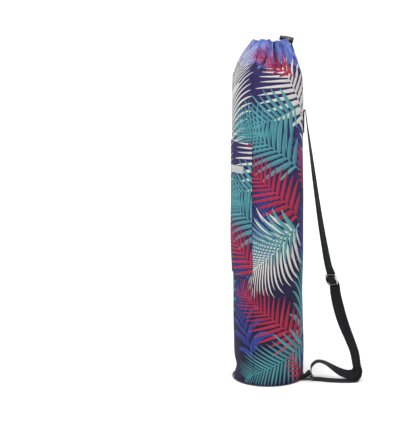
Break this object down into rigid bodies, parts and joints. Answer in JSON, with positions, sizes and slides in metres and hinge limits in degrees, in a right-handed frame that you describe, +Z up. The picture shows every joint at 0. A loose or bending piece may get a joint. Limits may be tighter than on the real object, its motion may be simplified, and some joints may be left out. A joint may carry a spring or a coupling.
{
  "type": "drawstring yoga mat bag with shoulder strap",
  "caption": "Tall cylindrical drawstring cloth bag with a gathered top, spring cord lock, patch pocket and adjustable webbing shoulder strap.",
  "frame": {"origin": "centre of the base panel's underside, where the bag stands", "axes": "+Z up along the bag's axis to the gathered mouth, -Y the front, +X the side that carries the strap"},
  "size_m": [0.2767, 0.154, 0.7199],
  "materials": {
    "printed_cloth": "matte woven polyester, palm frond print",
    "base_cloth": "matte woven polyester",
    "pocket_cloth": "matte woven polyester, palm frond print",
    "piping": "matte binding tape",
    "label": "woven, bare",
    "webbing": "ribbed polypropylene webbing",
    "cord": "braided",
    "slider_metal": "nickel plated wire",
    "hard_plastic": "satin moulded plastic"
  },
  "bodies": {
    "bag": {"bag_body": "printed_cloth", "base_panel": "base_cloth", "base_piping": "piping", "side_pocket": "pocket_cloth", "pocket_label": "label", "shoulder_strap": "webbing", "strap_slider": "slider_metal", "strap_ring": "hard_plastic", "ring_tab": "webbing", "cord_lock_barrel": "hard_plastic", "drawcord_tail_left": "cord", "drawcord_tail_right": "cord", "drawcord_knot_left": "cord", "drawcord_knot_right": "cord"},
    "lock_button": {"cord_lock_button": "hard_plastic"}
  },
  "joints": [
    {"name": "button_press", "type": "slide", "parent": "bag", "child": "lock_button", "axis": [0.9744, 0, -0.225], "range_m": [0, 0.0035], "stiffness_N_per_m": 400, "springref_m": -0.002}
  ]
}
